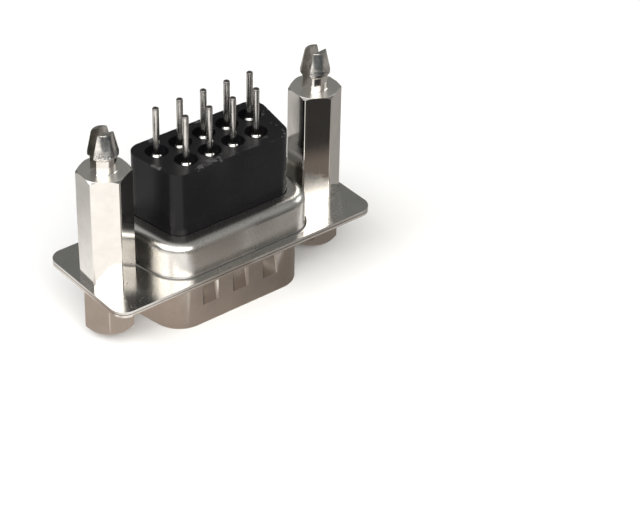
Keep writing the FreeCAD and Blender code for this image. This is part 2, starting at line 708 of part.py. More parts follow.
# Nothing is written unless every object is sound
bodies = [item for item in doc.Objects if item.isDerivedFrom("PartDesign::Body")]
broken = [item.Name for item in doc.Objects if "Invalid" in item.State or "Error" in item.State]
broken += [body.Label for body in bodies if body.Shape.isNull() or not body.Shape.isValid()]
broken += [body.Label for body in bodies if len(body.Shape.Solids) != 1]
if broken:
    raise RuntimeError("failed: " + ", ".join(broken))
for body in bodies:
    body.Shape.exportStep(os.path.join("parts", body.Label + ".step"))
    box = body.Shape.BoundBox
    print(f"{body.Label}: {body.Shape.Volume:.3f} mm3, Z {box.ZMin:.2f} to {box.ZMax:.2f}")
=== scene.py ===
import math

import bmesh
import bpy
from mathutils import Euler, Matrix, Vector


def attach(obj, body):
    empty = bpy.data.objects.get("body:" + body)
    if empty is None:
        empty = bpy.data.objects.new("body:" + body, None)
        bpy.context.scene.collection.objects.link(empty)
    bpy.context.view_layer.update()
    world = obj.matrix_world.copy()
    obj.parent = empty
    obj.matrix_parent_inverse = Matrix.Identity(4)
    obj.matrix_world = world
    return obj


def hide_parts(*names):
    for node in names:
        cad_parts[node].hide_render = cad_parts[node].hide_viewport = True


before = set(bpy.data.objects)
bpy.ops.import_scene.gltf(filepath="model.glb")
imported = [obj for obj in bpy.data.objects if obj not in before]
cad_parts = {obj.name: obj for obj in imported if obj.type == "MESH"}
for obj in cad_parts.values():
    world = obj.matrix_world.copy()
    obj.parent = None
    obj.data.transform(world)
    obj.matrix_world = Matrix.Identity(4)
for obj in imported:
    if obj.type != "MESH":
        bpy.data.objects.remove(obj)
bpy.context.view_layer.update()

# Board connector, standing on the rim of its D-shaped skirt, tails up.
# Pieces are shaped in millimetres in the part's own frame, then brought to metres.
mm = 0.001
up = (0, 0, 1)
down = (0, 0, -1)
weld = 1e-5  # millimetres within which vertices are merged
near = 1e-3  # millimetres within which two places count as one
sideLean = math.radians(10)  # lean of the short sides of every D
roundSteps = {"hole": 40, "pocket": 32, "wire": 32, "hexagon": 64, "stud": 40}  # facets of a full turn
print("frame loaded:", len(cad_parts), "nodes")


# Shaping helpers

def newRing(bm, radius, level, steps, at):
    # a closed ring of edges, spun from one vertex
    before = set(bm.edges)
    centre = Vector((at[0], at[1], level))
    start = bm.verts.new(centre + Vector((radius, 0, 0)))
    bmesh.ops.spin(bm, geom=[start], cent=centre, axis=up, angle=2 * math.pi, steps=steps, use_merge=True)
    return [edge for edge in bm.edges if edge not in before]


def newOutline(bm, width, height, corner, level, lean=sideLean, steps=12):
    # a D or a rectangle with rounded corners: four spun arcs, joined by straight edges
    before = set(bm.edges)
    wide = width / 2 - corner
    high = height / 2 - corner
    narrow = wide - 2 * high * math.tan(lean)
    quarter = math.pi / 2
    arcs = []
    for x, y, start, sweep in ((wide, high, -lean, quarter + lean),
                               (-wide, high, quarter, quarter + lean),
                               (-narrow, -high, 2 * quarter + lean, quarter - lean),
                               (narrow, -high, 3 * quarter, quarter - lean)):
        centre = Vector((x, y, level))
        known = set(bm.verts)
        first = bm.verts.new(centre + corner * Vector((math.cos(start), math.sin(start), 0)))
        bmesh.ops.spin(bm, geom=[first], cent=centre, axis=up, angle=sweep, steps=steps)
        arcs.append([vert for vert in bm.verts if vert not in known])
    for place, arc in enumerate(arcs):
        bm.edges.new((arc[-1], arcs[(place + 1) % 4][0]))
    return [edge for edge in bm.edges if edge not in before]


def outlinesFrom(bm, form, spots):
    # one outline for each pair of how far it stands out from the form's own, and its level
    return [newOutline(bm, form["width"] + 2 * out, form["height"] + 2 * out, form["corner"] + out, level)
            for out, level in spots]


def quarterTurn(steps):
    # the angles of a rounding, from 0 to 90 degrees
    return [math.radians(90 * step / steps) for step in range(steps + 1)]


def loft(bm, rings):
    for lower, upper in zip(rings, rings[1:]):
        bmesh.ops.bridge_loops(bm, edges=lower + upper)


def fillBetween(bm, edges, facing):
    bmesh.ops.triangle_fill(bm, use_beauty=True, use_dissolve=False, edges=edges, normal=facing)


def cap(bm, ring):
    bmesh.ops.contextual_create(bm, geom=ring)


def faceOutwards(bm):
    bmesh.ops.recalc_face_normals(bm, faces=bm.faces)


def faceSheet(bm, face, outward):
    # an open sheet: all of its faces turn the way that this one has to
    faceOutwards(bm)
    if face.normal.dot(Vector(outward)) <= 0:
        bmesh.ops.reverse_faces(bm, faces=bm.faces)


def turned(bm, profile, steps, at, closed=True):
    # a lathe-turned form from (radius, level) pairs
    verts = [bm.verts.new((at[0] + radius, at[1], level)) for radius, level in profile]
    pairs = list(zip(verts, verts[1:])) + ([(verts[-1], verts[0])] if closed else [])
    edges = [bm.edges.new(pair) for pair in pairs]
    bmesh.ops.spin(bm, geom=verts + edges, cent=(at[0], at[1], 0), axis=up, angle=2 * math.pi,
                   steps=steps, use_merge=True)
    bmesh.ops.remove_doubles(bm, verts=bm.verts, dist=weld)


def meshFrom(bm, name):
    mesh = bpy.data.meshes.new(name)
    bm.to_mesh(mesh)
    bm.free()
    return mesh


def toBmesh(mesh):
    bm = bmesh.new()
    bm.from_mesh(mesh)
    bpy.data.meshes.remove(mesh)
    return bm


def placed(name, data):
    holder = bpy.data.objects.new(name, data)
    bpy.context.scene.collection.objects.link(holder)
    return holder


def evaluated(holder):
    # the mesh that an object's modifiers or its text give; the object itself goes
    graph = bpy.context.evaluated_depsgraph_get()
    mesh = bpy.data.meshes.new_from_object(holder.evaluated_get(graph), depsgraph=graph)
    bpy.data.objects.remove(holder)
    return mesh


def applied(bm, name, steps):
    # runs modifiers over the workpiece and keeps their result
    holder = placed(name, meshFrom(bm, name))
    for kind, choices in steps:
        modifier = holder.modifiers.new(kind.lower(), kind)
        for choice, value in choices.items():
            setattr(modifier, choice, value)
    return evaluated(holder)


def cutterFrom(bm, name):
    faceOutwards(bm)
    return placed(name, meshFrom(bm, name))


def boolean(cutter, operation):
    return ("BOOLEAN", {"object": cutter, "operation": operation, "solver": "EXACT"})


def sheetWall(form):
    return ("SOLIDIFY", {"thickness": form["sheet"], "offset": -1, "use_even_offset": True,
                         "use_quality_normals": True})


def softEdges(form):
    return ("BEVEL", {"width": form["edge"], "segments": form["edgeSteps"], "limit_method": "ANGLE",
                      "angle_limit": math.radians(form["edgeAngle"]), "profile": 0.5, "material": -1,
                      "miter_outer": "MITER_ARC"})


def shown(bm, name, node, materials, steps=(), sharp=32):
    # finishes a piece: edges, smooth shading weighted to the flat faces, metres, and its place in the frame
    mesh = applied(bm, name, steps)
    mesh.shade_smooth()
    mesh.set_sharp_from_angle(angle=math.radians(sharp))
    mesh = applied(toBmesh(mesh), name, [("WEIGHTED_NORMAL", {"mode": "FACE_AREA", "keep_sharp": True})])
    mesh.transform(Matrix.Scale(mm, 4))
    piece = placed(name, mesh)
    for material in materials:
        mesh.materials.append(material)
    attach(piece, "root")
    if node:
        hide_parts(node)
    print("made", name, "with", len(mesh.polygons), "faces")


# Shader helpers

def newGroup(name, inputs):
    # a node group that works out one value from its named inputs
    group = bpy.data.node_groups.new(name, "ShaderNodeTree")
    for label, kind, value in inputs:
        socket = group.interface.new_socket(name=label, in_out="INPUT", socket_type="NodeSocket" + kind)
        if value is not None:
            socket.default_value = value
    group.interface.new_socket(name="Value", in_out="OUTPUT", socket_type="NodeSocketFloat")
    return group, group.nodes.new("NodeGroupInput").outputs, group.nodes.new("NodeGroupOutput").inputs


def addNode(tree, kind, choices=None, links=None):
    # choices set the node's fields or its sockets by name, and links join other sockets to its inputs
    node = tree.nodes.new(kind)
    for label, value in (choices or {}).items():
        if hasattr(node, label):
            setattr(node, label, value)
        else:
            node.inputs[label].default_value = value
    for label, source in (links or {}).items():
        tree.links.new(source, node.inputs[label])
    return node


def feed(tree, value, socket):
    # a constant goes on the socket itself, and anything else is linked to it
    if isinstance(value, (int, float, tuple)):
        socket.default_value = value
    else:
        tree.links.new(value, socket)


def maths(tree, operation, first, second=0.0, clamp=False):
    node = tree.nodes.new("ShaderNodeMath")
    node.operation = operation
    node.use_clamp = clamp
    feed(tree, first, node.inputs[0])
    feed(tree, second, node.inputs[1])
    return node.outputs[0]


def raised(tree, base, mask, amount):
    # a value with an amount added where a mask says
    return maths(tree, "ADD", base, maths(tree, "MULTIPLY", mask, amount))


def spread(tree, value, low, high, start=0.0, end=1.0):
    # a value brought from the range between low and high to the one between start and end
    node = tree.nodes.new("ShaderNodeMapRange")
    for label, amount in (("Value", value), ("From Min", low), ("From Max", high),
                          ("To Min", start), ("To Max", end)):
        feed(tree, amount, node.inputs[label])
    return node.outputs["Result"]


def mixColours(tree, factor, first, second):
    node = tree.nodes.new("ShaderNodeMix")
    node.data_type = "RGBA"
    for label, value in (("Factor", factor), ("A", first), ("B", second)):
        kind = "VALUE" if label == "Factor" else "RGBA"
        feed(tree, value, [item for item in node.inputs if item.name == label and item.type == kind][0])
    return [item for item in node.outputs if item.type == "RGBA"][0]


def overlaid(tree, under, over, mask, strength):
    # a colour laid over another where a mask says
    return mixColours(tree, maths(tree, "MULTIPLY", mask, strength), under, over)


def axesOf(tree, place):
    return addNode(tree, "ShaderNodeSeparateXYZ", None, {"Vector": place}).outputs


def makeCloudGroup():
    # slow clouding of a plated or moulded surface, 0 to 1
    mean = 0.5  # of the noise
    group, entry, result = newGroup("surfaceCloud", [
        ("Vector", "Vector", None), ("Scale", "Float", 300.0), ("Contrast", "Float", 0.25)])
    noise = addNode(group, "ShaderNodeTexNoise", {"Detail": 4.0, "Roughness": 0.6},
                    {"Vector": entry["Vector"], "Scale": entry["Scale"]})
    low = maths(group, "SUBTRACT", mean, entry["Contrast"])
    high = maths(group, "ADD", mean, entry["Contrast"])
    group.links.new(spread(group, noise.outputs[0], low, high), result["Value"])
    return group


def makeGrainGroup():
    # fine drawn or turned lines: noise stretched along one direction
    group, entry, result = newGroup("drawnGrain", [
        ("Vector", "Vector", None), ("Stretch", "Vector", (1.0, 1.0, 0.05)), ("Scale", "Float", 9000.0)])
    stretched = addNode(group, "ShaderNodeVectorMath", {"operation": "MULTIPLY"})
    group.links.new(entry["Vector"], stretched.inputs[0])
    group.links.new(entry["Stretch"], stretched.inputs[1])
    noise = addNode(group, "ShaderNodeTexNoise", {"Detail": 3.0, "Roughness": 0.55},
                    {"Vector": stretched.outputs[0], "Scale": entry["Scale"]})
    group.links.new(noise.outputs[0], result["Value"])
    return group


def makePitGroup():
    # small pits and nodules of a plated surface, scattered in patches, 0 to 1
    patch = {"scale": 0.18, "from": 0.5, "to": 0.7, "growth": 3.0, "least": 0.001}
    group, entry, result = newGroup("platingPits", [
        ("Vector", "Vector", None), ("Scale", "Float", 2500.0), ("Amount", "Float", 0.12)])
    cells = addNode(group, "ShaderNodeTexVoronoi", {"feature": "F1"},
                    {"Vector": entry["Vector"], "Scale": entry["Scale"]})
    patchScale = maths(group, "MULTIPLY", entry["Scale"], patch["scale"])
    noise = addNode(group, "ShaderNodeTexNoise", {"Detail": 2.0},
                    {"Vector": entry["Vector"], "Scale": patchScale})
    isPatch = spread(group, noise.outputs[0], patch["from"], patch["to"])
    growth = maths(group, "MULTIPLY", isPatch, patch["growth"])
    size = maths(group, "MAXIMUM", maths(group, "MULTIPLY", entry["Amount"], growth), patch["least"])
    away = maths(group, "DIVIDE", cells.outputs["Distance"], size)
    group.links.new(maths(group, "SUBTRACT", 1.0, away, clamp=True), result["Value"])
    return group


def makeHeightBandGroup():
    # 1 above a level along Z, in metres, with a soft border
    group, entry, result = newGroup("levelBand", [
        ("Vector", "Vector", None), ("Level", "Float", 0.0), ("Border", "Float", 0.0002)])
    low = maths(group, "SUBTRACT", entry["Level"], entry["Border"])
    high = maths(group, "ADD", entry["Level"], entry["Border"])
    group.links.new(spread(group, axesOf(group, entry["Vector"])["Z"], low, high), result["Value"])
    return group


surfaceCloud = makeCloudGroup()
drawnGrain = makeGrainGroup()
platingPits = makePitGroup()
levelBand = makeHeightBandGroup()
grainSpan = (0.3, 0.7)  # the part of a grain's noise that shows in the gloss


def startMaterial(name, sockets):
    material = bpy.data.materials.new(name)
    material.use_nodes = True
    tree = material.node_tree
    shader = tree.nodes["Principled BSDF"]
    for label, value in sockets.items():
        shader.inputs[label].default_value = value
    place = addNode(tree, "ShaderNodeTexCoord").outputs["Object"]
    return material, tree, shader, place


def useGroup(tree, group, place, choices):
    node = tree.nodes.new("ShaderNodeGroup")
    node.node_tree = group
    tree.links.new(place, node.inputs["Vector"])
    for label, value in choices.items():
        node.inputs[label].default_value = value
    return node.outputs["Value"]


def cloudAndGrain(tree, look, place):
    return (useGroup(tree, surfaceCloud, place, {"Scale": look["cloudScale"],
                                                 "Contrast": look["cloudContrast"]}),
            useGroup(tree, drawnGrain, place, {"Stretch": look["grainStretch"],
                                               "Scale": look["grainScale"]}))


def finishShader(tree, shader, colour, rough, height, bump):
    tree.links.new(colour, shader.inputs["Base Color"])
    tree.links.new(maths(tree, "ADD", rough, 0.0, clamp=True), shader.inputs["Roughness"])
    relief = addNode(tree, "ShaderNodeBump", {"Strength": 1.0, "Distance": bump}, {"Height": height})
    tree.links.new(relief.outputs["Normal"], shader.inputs["Normal"])


def markLevels(tree, look, place, colour, rough):
    # painted shade along lines where sheets meet or bend, and flat faces that are duller or brighter than the
    # rest
    height = axesOf(tree, place)["Z"]
    for level, half, dark, dulling in look["marks"]:
        away = maths(tree, "ABSOLUTE", maths(tree, "SUBTRACT", height, level))
        isMarked = spread(tree, away, look["markCore"] * half, half, 1.0, 0.0)
        # painted shade laid along each marked level
        colour = overlaid(tree, colour, look["paintedShadeColour"], isMarked, dark)
        rough = raised(tree, rough, isMarked, dulling)
    return colour, rough


def wearLocks(tree, lock, place, colour, rough, height):
    # the board locks: a softer gloss, tips mottled dark as a painted reflection, and crackled plating above
    # the shoulder
    def above(level, border):
        return useGroup(tree, levelBand, place, {"Level": level, "Border": border})

    # painted reflection: the tip darkened in mottled patches
    mottle = useGroup(tree, surfaceCloud, place, {"Scale": lock["tipScale"], "Contrast": lock["tipContrast"]})
    paintedTipReflection = maths(tree, "MULTIPLY", above(lock["tipLevel"], lock["tipBorder"]), mottle)
    colour = overlaid(tree, colour, lock["crackleAndReflectionColour"], paintedTipReflection, lock["tipPaintedDark"])
    cracks = useGroup(tree, surfaceCloud, place, {"Scale": lock["crackleScale"],
                                                  "Contrast": lock["crackleContrast"]})
    isCrackled = maths(tree, "SUBTRACT", above(lock["crackleLevel"], lock["crackleBorder"]),
                       above(lock["crackleEnd"], lock["crackleEndBorder"]))
    cracks = maths(tree, "MULTIPLY", isCrackled, cracks)
    colour = overlaid(tree, colour, lock["crackleAndReflectionColour"], cracks, lock["crackleDark"])
    rough = raised(tree, rough, above(lock["level"], lock["border"]), lock["dulling"])
    return colour, rough, raised(tree, height, cracks, lock["crackleHeight"])


def makePlating(name, look):
    # nickel plating: clouded colour and gloss, fine grain and a few pits
    material, tree, shader, place = startMaterial(name, {"Metallic": 1.0})
    cloud, grain = cloudAndGrain(tree, look, place)
    pits = useGroup(tree, platingPits, place, {"Scale": look["pitScale"], "Amount": look["pitAmount"]})
    colour = mixColours(tree, cloud, look["colour"], look["cloudColour"])
    colour = overlaid(tree, colour, look["pitColour"], pits, look["pitDark"])
    rough = raised(tree, spread(tree, grain, *grainSpan, *look["roughness"]), cloud, look["cloudRoughness"])
    rough = raised(tree, rough, pits, look["pitRoughness"])
    height = raised(tree, maths(tree, "MULTIPLY", grain, look["grainHeight"]), pits, -look["pitHeight"])
    # painted shade along the marked levels
    colour, rough = markLevels(tree, look, place, colour, rough)
    # the board locks' tips carry a painted reflection
    if "lock" in look:
        colour, rough, height = wearLocks(tree, look["lock"], place, colour, rough, height)
    finishShader(tree, shader, colour, rough, height, look["bump"])
    return material


shellNickelLook = {
    "colour": (0.62, 0.585, 0.54, 1), "cloudColour": (0.54, 0.51, 0.475, 1),
    "cloudScale": 420.0, "cloudContrast": 0.22, "cloudRoughness": 0.03,
    "grainStretch": (1.0, 1.0, 0.5), "grainScale": 6500.0, "grainHeight": 0.3,
    "pitScale": 5200.0, "pitAmount": 0.06, "pitDark": 0.45, "pitColour": (0.26, 0.24, 0.22, 1),
    "pitHeight": 0.3, "pitRoughness": 0.25, "roughness": (0.19, 0.25), "bump": 0.000004,
    "paintedShadeColour": (0.03, 0.028, 0.026, 1), "markCore": 0.4,
    # the first mark is painted shade along the line where the two flanges meet
    "marks": [(6.32 * mm, 0.055 * mm, 0.9, 0.0)],  # level, half its height, darkness, added roughness
}
boardSideLook = dict(
    shellNickelLook, colour=(0.605, 0.588, 0.56, 1), cloudColour=(0.525, 0.512, 0.49, 1),
    pitScale=5600.0, pitAmount=0.2, pitDark=0.55, roughness=(0.25, 0.31),
    # painted shade in the crease at the foot of the boss, and a glossier flange face
    marks=shellNickelLook["marks"] + [(6.735 * mm, 0.075 * mm, 0.85, 0.1),
                                      (6.64 * mm, 0.06 * mm, 0.0, -0.08)],
)
# a darker, warmer copy of the skirt's nickel for the floors of the dimples: painted shade
dimpleShadeLook = dict(shellNickelLook, colour=(0.49, 0.43, 0.375, 1), cloudColour=(0.42, 0.37, 0.325, 1))
turnedNickelLook = dict(
    shellNickelLook, colour=(0.69, 0.665, 0.63, 1), cloudColour=(0.61, 0.59, 0.56, 1),
    cloudScale=500.0, cloudRoughness=0.04,
    grainStretch=(1.0, 1.0, 0.06), grainScale=6000.0, grainHeight=0.22,
    pitScale=3600.0, pitAmount=0.11, pitDark=0.4, pitColour=(0.32, 0.30, 0.28, 1), pitHeight=0.5,
    roughness=(0.06, 0.12), bump=0.000006,
    marks=[(18.64 * mm, 0.05 * mm, 0.0, 0.3)],
    lock={
        "level": 18.8 * mm, "border": 0.1 * mm, "dulling": 0.045, "crackleAndReflectionColour": (0.11, 0.115, 0.12, 1),
        # the tips are painted darker in mottled patches: a painted reflection
        "tipLevel": 21.9 * mm, "tipBorder": 0.7 * mm,
        "tipScale": 1500.0, "tipContrast": 0.12, "tipPaintedDark": 0.45,
        "crackleLevel": 20.35 * mm, "crackleBorder": 0.15 * mm,
        "crackleEnd": 21.2 * mm, "crackleEndBorder": 0.3 * mm,
        "crackleScale": 8000.0, "crackleContrast": 0.08, "crackleDark": 0.75, "crackleHeight": 0.7,
    },
)
shellNickel = makePlating("shellNickel", shellNickelLook)
boardSideNickel = makePlating("boardSideNickel", boardSideLook)
dimpleShadeNickel = makePlating("dimpleShadeNickel", dimpleShadeLook)
turnedNickel = makePlating("turnedNickel", turnedNickelLook)

contactLook = {
    "gold": (0.80, 0.53, 0.20, 1), "goldDark": (0.42, 0.25, 0.08, 1),
    "tin": (0.64, 0.62, 0.59, 1), "tinDark": (0.22, 0.20, 0.19, 1), "tinClouding": 0.45,
    "changeLevel": 9.0 * mm, "changeBorder": 0.2 * mm, "cloudScale": 900.0, "cloudContrast": 0.2,
    "grainStretch": (1.0, 1.0, 0.10), "grainScale": 8000.0, "roughness": (0.16, 0.30), "bump": 0.000006,
    # the tail's rounded end is painted dark: a painted reflection
    "tip": (0.11, 0.10, 0.095, 1), "tipLevel": 21.9 * mm, "tipBorder": 0.12 * mm,
    "tipPaintedDark": 0.9, "tipRoughness": 0.2,
}


def makeContactPlating():
    # gold on the mating pin, tin on the tail, with the tail's rounded end rougher and painted dark: a painted
    # reflection
    look = contactLook
    material, tree, shader, place = startMaterial("contactPlating", {"Metallic": 1.0})
    cloud, grain = cloudAndGrain(tree, look, place)
    isTin = useGroup(tree, levelBand, place, {"Level": look["changeLevel"], "Border": look["changeBorder"]})
    isTip = useGroup(tree, levelBand, place, {"Level": look["tipLevel"], "Border": look["tipBorder"]})
    gold = mixColours(tree, cloud, look["gold"], look["goldDark"])
    tin = overlaid(tree, look["tin"], look["tinDark"], cloud, look["tinClouding"])
    tin = overlaid(tree, tin, look["tip"], isTip, look["tipPaintedDark"])
    rough = raised(tree, spread(tree, grain, *grainSpan, *look["roughness"]), isTip, look["tipRoughness"])
    finishShader(tree, shader, mixColours(tree, isTin, gold, tin), rough, grain, look["bump"])
    return material


contactPlating = makeContactPlating()


def scuffEdges(tree, edgeFlecks, place, colour, rough):
    # pale flecks along the edges of a moulding's end face: scuffs, and painted highlights where the edges
    # catch light
    pits = useGroup(tree, platingPits, place, {"Scale": edgeFlecks["scale"], "Amount": edgeFlecks["amount"]})
    nearTop = useGroup(tree, levelBand, place, {"Level": edgeFlecks["level"], "Border": edgeFlecks["border"]})
    parts = axesOf(tree, place)
    edges = [spread(tree, maths(tree, "ABSOLUTE", parts[axis]), *edgeFlecks["edge" + axis]) for axis in "XY"]
    nearEdge = maths(tree, "MULTIPLY", nearTop, maths(tree, "MAXIMUM", *edges))
    paleFlecks = maths(tree, "MULTIPLY", pits, nearEdge)
    return mixColours(tree, paleFlecks, colour, edgeFlecks["colour"]), raised(tree, rough, paleFlecks, edgeFlecks["dulling"])


def makeMoulding(name, look):
    # moulded plastic with a fine eroded texture
    material, tree, shader, place = startMaterial(name, {"Specular IOR Level": look["specular"]})
    cloud, grain = cloudAndGrain(tree, look, place)
    colour = mixColours(tree, cloud, look["colour"], look["cloudColour"])
    rough = spread(tree, cloud, 0.0, 1.0, *look["roughness"])
    if "edgeFlecks" in look:
        colour, rough = scuffEdges(tree, look["edgeFlecks"], place, colour, rough)
    finishShader(tree, shader, colour, rough, grain, look["bump"])
    return material


greyMouldingLook = {
    "colour": (0.055, 0.062, 0.070, 1), "cloudColour": (0.070, 0.078, 0.086, 1),
    "cloudScale": 500.0, "cloudContrast": 0.25, "grainStretch": (1.0, 1.0, 1.0), "grainScale": 9000.0,
    "specular": 0.45, "roughness": (0.34, 0.44), "bump": 0.000008,
}
blackMouldingLook = dict(
    greyMouldingLook, colour=(0.006, 0.006, 0.007, 1), cloudColour=(0.008, 0.0075, 0.0085, 1),
    cloudScale=350.0, specular=0.16, roughness=(0.24, 0.28), bump=0.000004,
    # pale flecks along the top edges: scuffs and painted highlights
    edgeFlecks={
        "level": 17.1 * mm, "border": 0.12 * mm, "edgeX": (5.6 * mm, 7.0 * mm), "edgeY": (2.5 * mm, 3.3 * mm),
        "scale": 2900.0, "amount": 0.42, "colour": (0.12, 0.12, 0.125, 1), "dulling": 0.3,
    },
)
numberInkLook = dict(greyMouldingLook, colour=(0.010, 0.011, 0.013, 1), cloudColour=(0.016, 0.017, 0.019, 1),
                     roughness=(0.30, 0.40))
blackMoulding = makeMoulding("blackMoulding", blackMouldingLook)
greyMoulding = makeMoulding("greyMoulding", greyMouldingLook)
numberInk = makeMoulding("numberInk", numberInkLook)
print("finishes ready")


# Places shared by the pieces, in millimetres
contactPitch = 2.77
rowY = 1.42
contactPlaces = [(place * contactPitch, rowY) for place in (2, 1, 0, -1, -2)]
contactPlaces += [(place * contactPitch, -rowY) for place in (1.5, 0.5, -0.5, -1.5)]
screwX = 12.495
flange = {"width": 30.81, "height": 12.5, "corner": 1.5, "hole": 1.525}


def flangeSheet(bm, level, inner, facing):
    # the flat of a flange, from its outline to the foot of what is drawn out of it, with both screw holes
    edges = newOutline(bm, flange["width"], flange["height"], flange["corner"], level, lean=0)
    edges += inner
    for side in (-1, 1):
        edges += newRing(bm, flange["hole"], level, roundSteps["hole"], (side * screwX, 0))
    fillBetween(bm, edges, facing)


# Front shell: flange and skirt drawn from one sheet, three dimples pressed into each long side

frontShell = {
    "level": 6.0, "sheet": 0.32, "width": 17.56, "height": 9.0, "corner": 2.92, "bend": 0.8, "bendSteps": 6,
    "dimpleX": (-3.66, 0, 3.66), "dimpleHalf": 0.95, "dimpleWall": 0.26, "dimpleStart": 5.1,
    "dimpleEnd": 2.2, "dimpleDepth": 0.5, "edge": 0.07, "edgeSteps": 2, "edgeAngle": 35,
}


def pressDimples(bm, side):
    form = frontShell
    wallY = side * form["height"] / 2
    flatShare = 0.999  # least share of its normal that a face of the long side has along Y
    deepLevel = form["dimpleStart"] - form["dimpleWall"]
    floorHalf = form["dimpleHalf"] - form["dimpleWall"]

    def fromDimple(x):
        return min(abs(x - middle) for middle in form["dimpleX"])

    cuts = [((0, 0, level), up) for level in (form["dimpleStart"], deepLevel, form["dimpleEnd"])]
    for middle in form["dimpleX"]:
        for reach in (form["dimpleHalf"], floorHalf):
            cuts += [((middle - reach, 0, 0), (1, 0, 0)), ((middle + reach, 0, 0), (1, 0, 0))]
    for spot, direction in cuts:
        wall = [face for face in bm.faces if abs(face.normal.y) > flatShare
                and abs(face.calc_center_median().y - wallY) < near]
        parts = {item for face in wall for item in (*face.verts, *face.edges)} | set(wall)
        bmesh.ops.bisect_plane(bm, geom=list(parts), plane_co=spot, plane_no=direction, dist=weld)
    deep = [vert for vert in bm.verts if abs(vert.co.y - wallY) < near and abs(vert.co.z - deepLevel) < near
            and fromDimple(vert.co.x) < floorHalf + near]
    bmesh.ops.translate(bm, verts=deep, vec=(0, -side * form["dimpleDepth"], 0))
    # the floors of the dimples take a darker, warmer copy of the skirt's nickel: painted shade
    for face in bm.faces:
        middle = face.calc_center_median()
        isBeside = fromDimple(middle.x) < floorHalf + near - form["dimpleWall"] / 2
        isOnWall = form["dimpleEnd"] < middle.z < deepLevel and abs(middle.y - wallY) < form["dimpleDepth"]
        if isBeside and isOnWall:
            face.material_index = 1


def makeFrontShell():
    form = frontShell
    bm = bmesh.new()
    spots = [(form["bend"] * (1 - math.sin(angle)), form["level"] - form["bend"] * (1 - math.cos(angle)))
             for angle in quarterTurn(form["bendSteps"])]
    rings = outlinesFrom(bm, form, spots + [(0, 0)])
    loft(bm, rings)
    flangeSheet(bm, form["level"], rings[0], down)
    skirtFace = min(bm.faces, key=lambda face: face.calc_center_median().z)
    faceSheet(bm, skirtFace, skirtFace.calc_center_median())
    for side in (-1, 1):
        pressDimples(bm, side)
    shown(bm, "frontShell", "front_shell", [shellNickel, dimpleShadeNickel],
          [sheetWall(form), softEdges(form)])


# Rear shell: flange of the same outline, with the boss drawn up from it and open at the top

rearShell = {
    "level": 6.64, "sheet": 0.32, "width": 19.28, "height": 10.72, "corner": 3.0,
    "foot": 0.3, "shoulder": 1.0, "top": 10.39, "windowWidth": 15.62, "windowHeight": 7.32,
    "windowCorner": 1.56, "bendSteps": 6, "edge": 0.06, "edgeSteps": 2, "edgeAngle": 35,
}


def makeRearShell():
    form = rearShell
    bm = bmesh.new()
    angles = quarterTurn(form["bendSteps"])
    spots = [(form["foot"] * (1 - math.sin(angle)), form["level"] + form["foot"] * (1 - math.cos(angle)))
             for angle in angles]
    spots += [(form["shoulder"] * (math.cos(angle) - 1),
               form["top"] - form["shoulder"] * (1 - math.sin(angle))) for angle in angles]
    rings = outlinesFrom(bm, form, spots)
    rings.append(newOutline(bm, form["windowWidth"], form["windowHeight"], form["windowCorner"], form["top"]))
    loft(bm, rings)
    flangeSheet(bm, form["level"], rings[0], up)
    faceSheet(bm, max(bm.faces, key=lambda face: face.calc_center_median().z), up)
    shown(bm, "rearShell", "rear_shell", [boardSideNickel],
          [sheetWall(form), softEdges(form)])


# Mouldings

def roundPockets(bm, radius, mouth, floor, bore, depth):
    # the wall, floor and central bore of a round pocket at each contact; the mouths are filled round later
    mouths = []
    for at in contactPlaces:
        rings = [newRing(bm, size, level, roundSteps["pocket"], at) for size, level in (
            (radius, mouth), (radius, floor), (bore, floor), (bore, depth))]
        loft(bm, rings)
        cap(bm, rings[-1])
        mouths += rings[0]
    return mouths


rearInsulator = {
    "bottom": 10.01, "top": 17.24, "width": 15.5, "height": 7.2, "corner": 1.5,
    "wellRadius": 1.15, "wellFloor": 16.49, "bore": 0.57, "boreEnd": 16.1,
    "plateBottom": 7.92, "plateWidth": 17.12, "plateHeight": 8.56, "plateCorner": 1.92,
    "edge": 0.1, "edgeSteps": 3, "edgeAngle": 50,
}


def makeRearInsulator():
    form = rearInsulator
    bm = bmesh.new()
    rings = outlinesFrom(bm, form, [(0, form["bottom"]), (0, form["top"])])
    loft(bm, rings)
    cap(bm, rings[0])
    mouths = roundPockets(bm, form["wellRadius"], form["top"], form["wellFloor"], form["bore"],
                          form["boreEnd"])
    fillBetween(bm, rings[1] + mouths, up)
    plate = [newOutline(bm, form["plateWidth"], form["plateHeight"], form["plateCorner"], level)
             for level in (form["plateBottom"], form["bottom"])]
    loft(bm, plate)
    for ring in plate:
        cap(bm, ring)
    faceOutwards(bm)
    shown(bm, "rearInsulator", "rear_insulator", [blackMoulding], [softEdges(form)])


frontInsulator = {
    "face": 5.45, "noseTop": 6.38, "width": 16.68, "height": 8.12, "corner": 2.48,
    "noseRound": 0.3, "noseSteps": 4, "recess": 0.75, "recessFloor": 5.7, "bore": 0.53, "boreEnd": 6.1,
    "plateTop": 7.92, "plateWidth": 18.52, "plateHeight": 9.96, "plateCorner": 2.62, "plateFoot": 0.6,
    "edge": 0.04, "edgeSteps": 2, "edgeAngle": 50,
}


